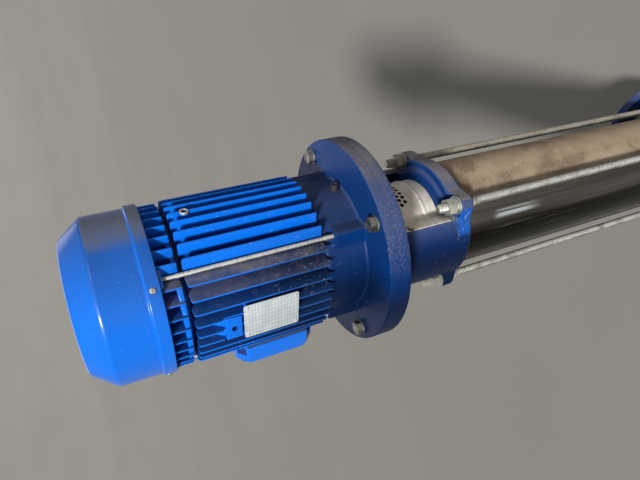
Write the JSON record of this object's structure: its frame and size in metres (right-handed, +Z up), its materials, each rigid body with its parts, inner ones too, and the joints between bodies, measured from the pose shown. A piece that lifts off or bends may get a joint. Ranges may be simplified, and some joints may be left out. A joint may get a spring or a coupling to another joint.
{
  "type": "vertical multistage centrifugal pump",
  "caption": "Upright inline multistage centrifugal pump: ported base, tie-rod sleeve, cast head and flanged finned electric motor.",
  "frame": {"origin": "centre of the foot plate's flat underside, on the shaft axis", "axes": "+Z up along the shaft from the foot to the fan cowl, +X out of the discharge port, Y across the ports"},
  "size_m": [0.3, 0.3, 1.297],
  "materials": {
    "motor_paint": "gloss bright blue enamel with settled dust",
    "casting_paint": "darker blue enamel over rough casting, dusty, chipped",
    "zinc": "dull zinc plating",
    "stainless": "drawn and polished stainless sheet",
    "shaft_steel": "ground steel",
    "alloy_plate": "satin plate, blank",
    "dark_plastic": "black moulded plastic"
  },
  "bodies": {
    "root": {"foot_plate": "casting_paint", "pump_base": "stainless", "suction_flange": "casting_paint", "discharge_flange": "casting_paint", "drain_plug": "zinc", "outer_sleeve": "stainless", "pump_head": "casting_paint", "coupling_guard_front": "stainless", "coupling_guard_back": "stainless", "coupling_half_front": "zinc", "coupling_half_back": "zinc", "pump_shaft": "shaft_steel", "shaft_seal": "shaft_steel", "drive_end_shield": "casting_paint", "motor_frame": "motor_paint", "fan_end_shield": "motor_paint", "motor_shaft": "shaft_steel", "cooling_fan": "dark_plastic", "fan_cowl": "motor_paint", "rating_plate": "alloy_plate", "terminal_box": "motor_paint", "terminal_box_lid": "motor_paint", "cable_gland": "dark_plastic", "tie_rod_1": "zinc", "tie_rod_nut_1": "zinc", "flange_bolt_1": "zinc", "through_bolt_1": "zinc", "tie_rod_2": "zinc", "tie_rod_nut_2": "zinc", "flange_bolt_2": "zinc", "through_bolt_2": "zinc", "tie_rod_3": "zinc", "tie_rod_nut_3": "zinc", "flange_bolt_3": "zinc", "through_bolt_3": "zinc", "tie_rod_4": "zinc", "tie_rod_nut_4": "zinc", "flange_bolt_4": "zinc", "through_bolt_4": "zinc"}
  },
  "joints": []
}
